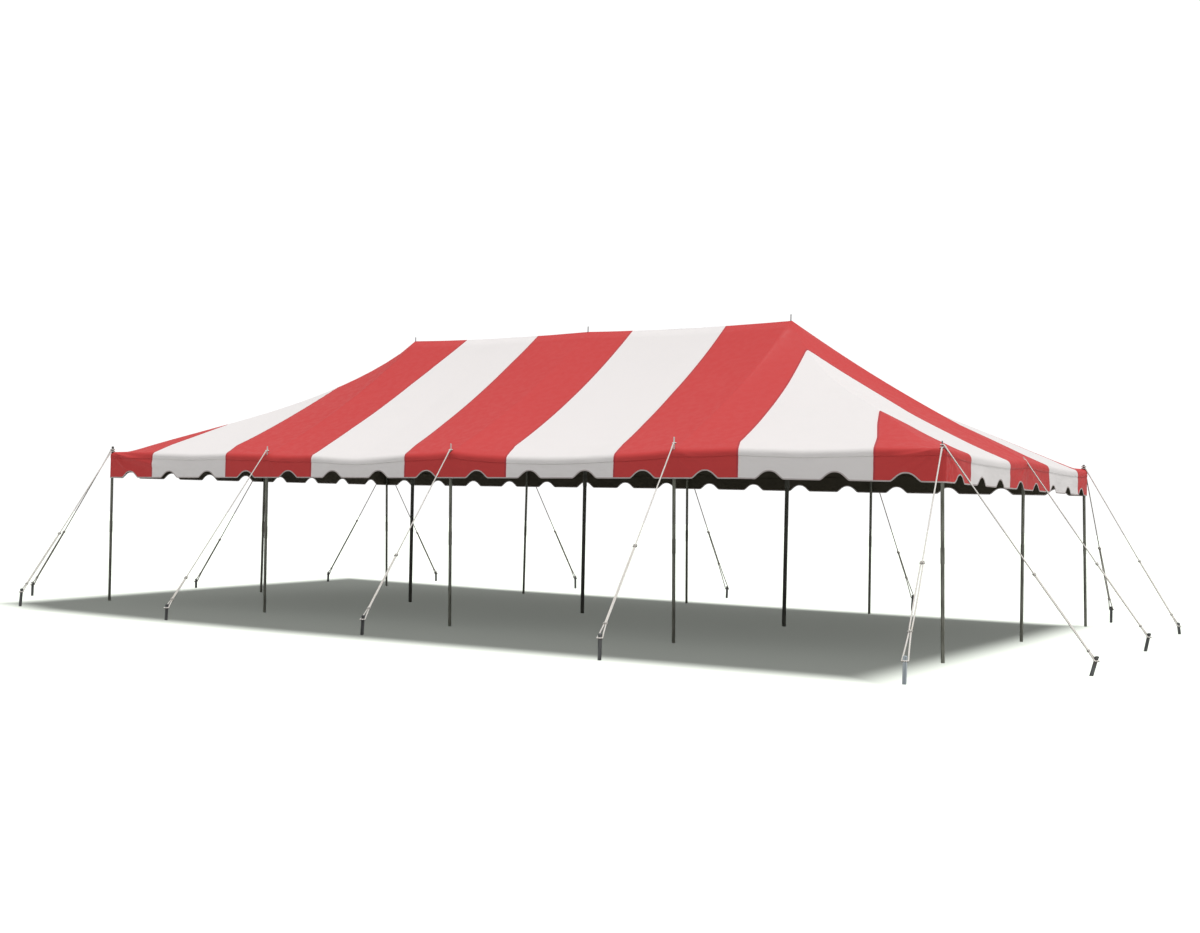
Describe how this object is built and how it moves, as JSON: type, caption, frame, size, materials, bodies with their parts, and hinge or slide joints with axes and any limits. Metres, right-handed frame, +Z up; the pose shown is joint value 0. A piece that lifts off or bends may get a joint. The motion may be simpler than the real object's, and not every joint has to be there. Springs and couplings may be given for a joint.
{
  "type": "pole tent",
  "caption": "Striped pole tent with a hipped, ridged top and notched valance, on side and centre poles, held down by guy ropes and stakes",
  "frame": {"origin": "on the ground, under the middle of the tent", "axes": "+X along the long side to the right of the front, +Y from the front to the back, +Z up"},
  "size_m": [15.3062, 10.3641, 4.015],
  "materials": {
    "canopy_red": "coated vinyl fabric, satin",
    "valance_white": "coated vinyl fabric, satin",
    "pole_steel": "dull weathered galvanised tube",
    "rope_white": "laid polyester rope",
    "stake_steel": "worn steel"
  },
  "bodies": {
    "root": {"centre_pole_left": "pole_steel", "centre_pole_middle": "pole_steel", "centre_pole_right": "pole_steel", "guy_rope_back_1": "rope_white", "guy_rope_back_2": "rope_white", "guy_rope_back_3": "rope_white", "guy_rope_back_4": "rope_white", "guy_rope_back_5": "rope_white", "guy_rope_front_1": "rope_white", "guy_rope_front_2": "rope_white", "guy_rope_front_3": "rope_white", "guy_rope_front_4": "rope_white", "guy_rope_front_5": "rope_white", "guy_rope_left_back": "rope_white", "guy_rope_left_front": "rope_white", "guy_rope_left_middle": "rope_white", "guy_rope_right_back": "rope_white", "guy_rope_right_front": "rope_white", "guy_rope_right_middle": "rope_white", "roof_slope_back": "canopy_red", "roof_slope_front": "canopy_red", "roof_slope_left_end": "canopy_red", "roof_slope_right_end": "canopy_red", "side_pole_back_1": "pole_steel", "side_pole_back_2": "pole_steel", "side_pole_back_3": "pole_steel", "side_pole_back_4": "pole_steel", "side_pole_back_5": "pole_steel", "side_pole_front_1": "pole_steel", "side_pole_front_2": "pole_steel", "side_pole_front_3": "pole_steel", "side_pole_front_4": "pole_steel", "side_pole_front_5": "pole_steel", "side_pole_left_middle": "pole_steel", "side_pole_right_middle": "pole_steel", "stake_back_1": "stake_steel", "stake_back_2": "stake_steel", "stake_back_3": "stake_steel", "stake_back_4": "stake_steel", "stake_back_5": "stake_steel", "stake_front_1": "stake_steel", "stake_front_2": "stake_steel", "stake_front_3": "stake_steel", "stake_front_4": "stake_steel", "stake_front_5": "stake_steel", "stake_left_back": "stake_steel", "stake_left_front": "stake_steel", "stake_left_middle": "stake_steel", "stake_right_back": "stake_steel", "stake_right_front": "stake_steel", "stake_right_middle": "stake_steel", "valance_back": "valance_white", "valance_front": "valance_white", "valance_left_end": "valance_white", "valance_right_end": "valance_white"}
  },
  "joints": []
}
